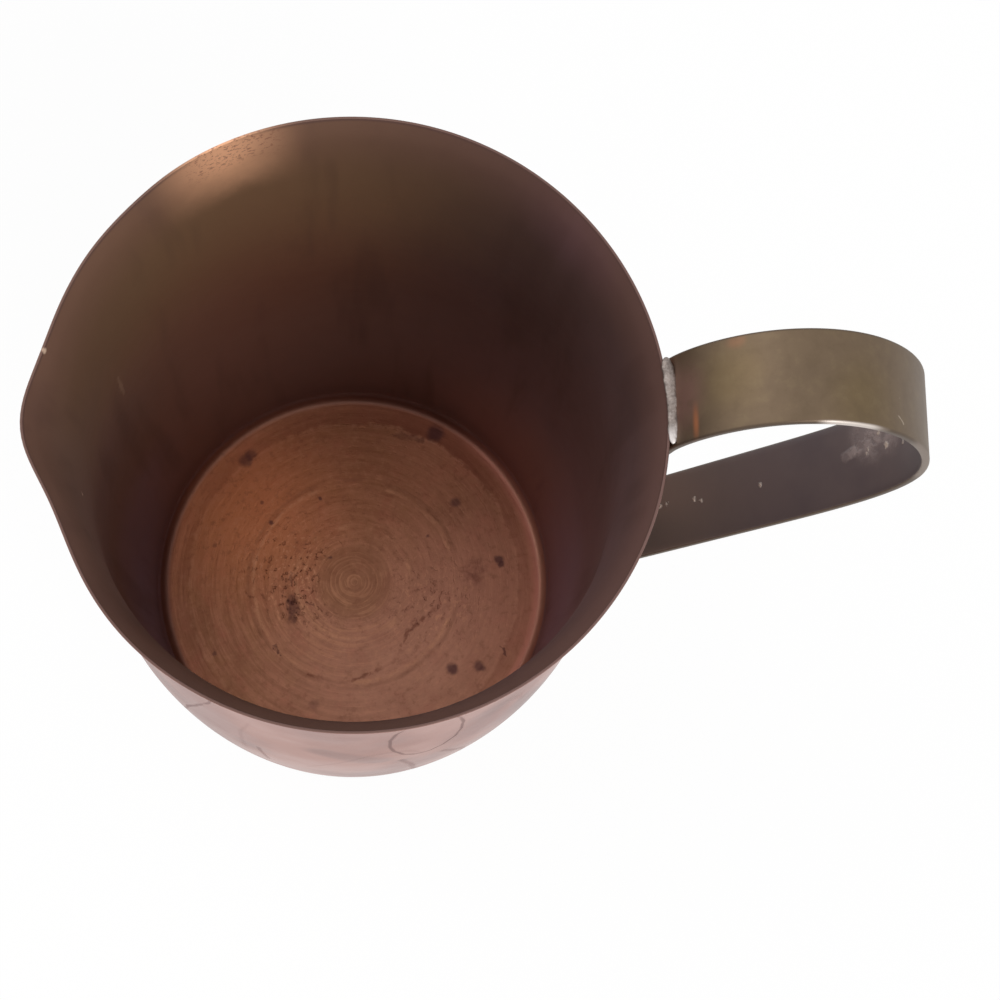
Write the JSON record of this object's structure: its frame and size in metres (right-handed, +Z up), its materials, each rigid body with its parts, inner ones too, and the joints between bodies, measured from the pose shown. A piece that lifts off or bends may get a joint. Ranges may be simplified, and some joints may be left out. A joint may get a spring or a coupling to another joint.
{
  "type": "copper pitcher",
  "caption": "Small tarnished copper pitcher with a flared rim, a pinched pouring lip and a looped brass strap handle soldered to the wall opposite the lip.",
  "frame": {"origin": "the middle of the flat base, on the surface that the pitcher stands on", "axes": "+Z up the body's axis, +X towards the handle, so the pouring lip is towards -X"},
  "size_m": [0.1266, 0.0864, 0.133],
  "materials": {
    "copper": "spun copper, tarnished dark inside and brighter outside",
    "brass": "satin brass strip with an olive brown tarnish",
    "solder": "dull grey solder, lumpy"
  },
  "bodies": {
    "root": {"pitcher_body": "copper", "strap_handle": "brass", "upper_solder_joint": "solder", "lower_solder_joint": "solder"}
  },
  "joints": []
}
